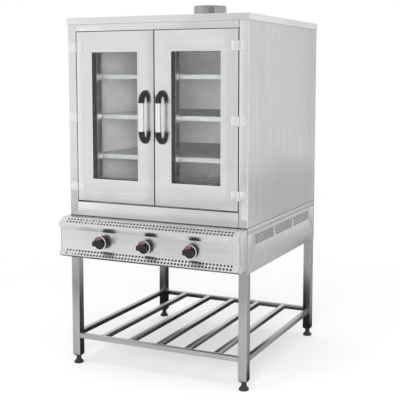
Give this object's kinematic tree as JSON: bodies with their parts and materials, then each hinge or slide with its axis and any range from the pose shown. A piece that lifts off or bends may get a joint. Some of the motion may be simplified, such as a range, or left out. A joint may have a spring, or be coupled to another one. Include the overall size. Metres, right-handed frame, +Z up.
{
  "type": "electric pastry oven",
  "caption": "Tall stainless pastry oven with glazed double doors, shelved chamber, knobbed heater base, roof flue collar and open stand with storage rack.",
  "frame": {"origin": "on the floor, under the middle of the whole object's box", "axes": "+Z up, -Y out of the front where the doors open, +X to the right seen from the front"},
  "size_m": [0.908, 1.076, 1.715],
  "materials": {
    "brushed_steel": "fine vertical brushing",
    "door_steel": "fine vertical brushing, bright",
    "panel_steel": "semi-polished",
    "stand_steel": "brushed tube",
    "liner_steel": "dull, heat toned",
    "shelf_steel": "bright sheet",
    "bright_steel": "polished",
    "black_plastic": "moulded, slightly glossy",
    "foot_plastic": "moulded, satin",
    "window_glass": "clear, double glazed",
    "seal_rubber": "matt silicone",
    "heater_rod": "oxidised metal sheath",
    "insulation_wool": "mineral wool slab",
    "terminal_ceramic": "glazed block",
    "switch_plastic": "moulded",
    "magnet": "plain"
  },
  "bodies": {
    "oven": {"leg_front_left": "stand_steel", "leg_front_right": "stand_steel", "leg_rear_left": "stand_steel", "leg_rear_right": "stand_steel", "leg_end_plugs": "foot_plastic", "rack_front_rail": "stand_steel", "rack_rear_rail": "stand_steel", "rack_left_rail": "stand_steel", "rack_right_rail": "stand_steel", "rack_slats": "stand_steel", "base_deck": "brushed_steel", "base_pan": "brushed_steel", "base_side_left": "brushed_steel", "base_side_right": "brushed_steel", "control_panel": "panel_steel", "terminal_block": "terminal_ceramic", "cable_gland": "black_plastic", "rotary_switches": "switch_plastic", "side_panel_left": "brushed_steel", "side_panel_right": "brushed_steel", "back_panel": "brushed_steel", "roof_cap": "brushed_steel", "front_post_left": "door_steel", "front_post_right": "door_steel", "front_header": "door_steel", "front_sill": "door_steel", "chamber_liner": "liner_steel", "insulation": "insulation_wool", "tray_rack_left": "liner_steel", "tray_rack_right": "liner_steel", "shelf_lower": "shelf_steel", "shelf_middle": "shelf_steel", "shelf_upper": "shelf_steel", "heating_elements": "heater_rod", "flue_collar": "brushed_steel", "door_catches": "magnet", "post_hinge_leaves": "bright_steel"},
    "door_left": {"door_outer_left": "door_steel", "door_inner_left": "liner_steel", "window_seal_left": "seal_rubber", "window_glass_left": "window_glass", "door_gasket_left": "seal_rubber", "handle_bar_left": "bright_steel", "handle_ends_left": "black_plastic", "hinge_leaves_left": "bright_steel"},
    "door_right": {"door_outer_right": "door_steel", "door_inner_right": "liner_steel", "window_seal_right": "seal_rubber", "window_glass_right": "window_glass", "door_gasket_right": "seal_rubber", "handle_bar_right": "bright_steel", "handle_ends_right": "black_plastic", "hinge_leaves_right": "bright_steel"},
    "thermostat_knob": {"thermostat_knob": "black_plastic"},
    "top_heat_knob": {"top_heat_knob": "black_plastic"},
    "bottom_heat_knob": {"bottom_heat_knob": "black_plastic"},
    "foot_front_left": {"foot_front_left": "foot_plastic"},
    "foot_front_right": {"foot_front_right": "foot_plastic"},
    "foot_rear_left": {"foot_rear_left": "foot_plastic"},
    "foot_rear_right": {"foot_rear_right": "foot_plastic"}
  },
  "joints": [
    {"name": "door_left_hinge", "type": "hinge", "parent": "oven", "child": "door_left", "pos_m": [-0.407, -0.41, 1.1795], "axis": [0, 0, -1], "range_deg": [0, 160]},
    {"name": "door_right_hinge", "type": "hinge", "parent": "oven", "child": "door_right", "pos_m": [0.407, -0.41, 1.1795], "axis": [0, 0, 1], "range_deg": [0, 160]},
    {"name": "thermostat_turn", "type": "hinge", "parent": "oven", "child": "thermostat_knob", "pos_m": [-0.226, -0.486, 0.62], "axis": [0, 1, 0], "range_deg": [0, 300]},
    {"name": "top_heat_turn", "type": "hinge", "parent": "oven", "child": "top_heat_knob", "pos_m": [0, -0.486, 0.62], "axis": [0, 1, 0], "range_deg": [0, 270]},
    {"name": "bottom_heat_turn", "type": "hinge", "parent": "oven", "child": "bottom_heat_knob", "pos_m": [0.226, -0.486, 0.62], "axis": [0, 1, 0], "range_deg": [0, 270]},
    {"name": "foot_front_left_screw", "type": "slide", "parent": "oven", "child": "foot_front_left", "axis": [0, 0, -1], "range_m": [0, 0.02]},
    {"name": "foot_front_right_screw", "type": "slide", "parent": "oven", "child": "foot_front_right", "axis": [0, 0, -1], "range_m": [0, 0.02]},
    {"name": "foot_rear_left_screw", "type": "slide", "parent": "oven", "child": "foot_rear_left", "axis": [0, 0, -1], "range_m": [0, 0.02]},
    {"name": "foot_rear_right_screw", "type": "slide", "parent": "oven", "child": "foot_rear_right", "axis": [0, 0, -1], "range_m": [0, 0.02]}
  ]
}
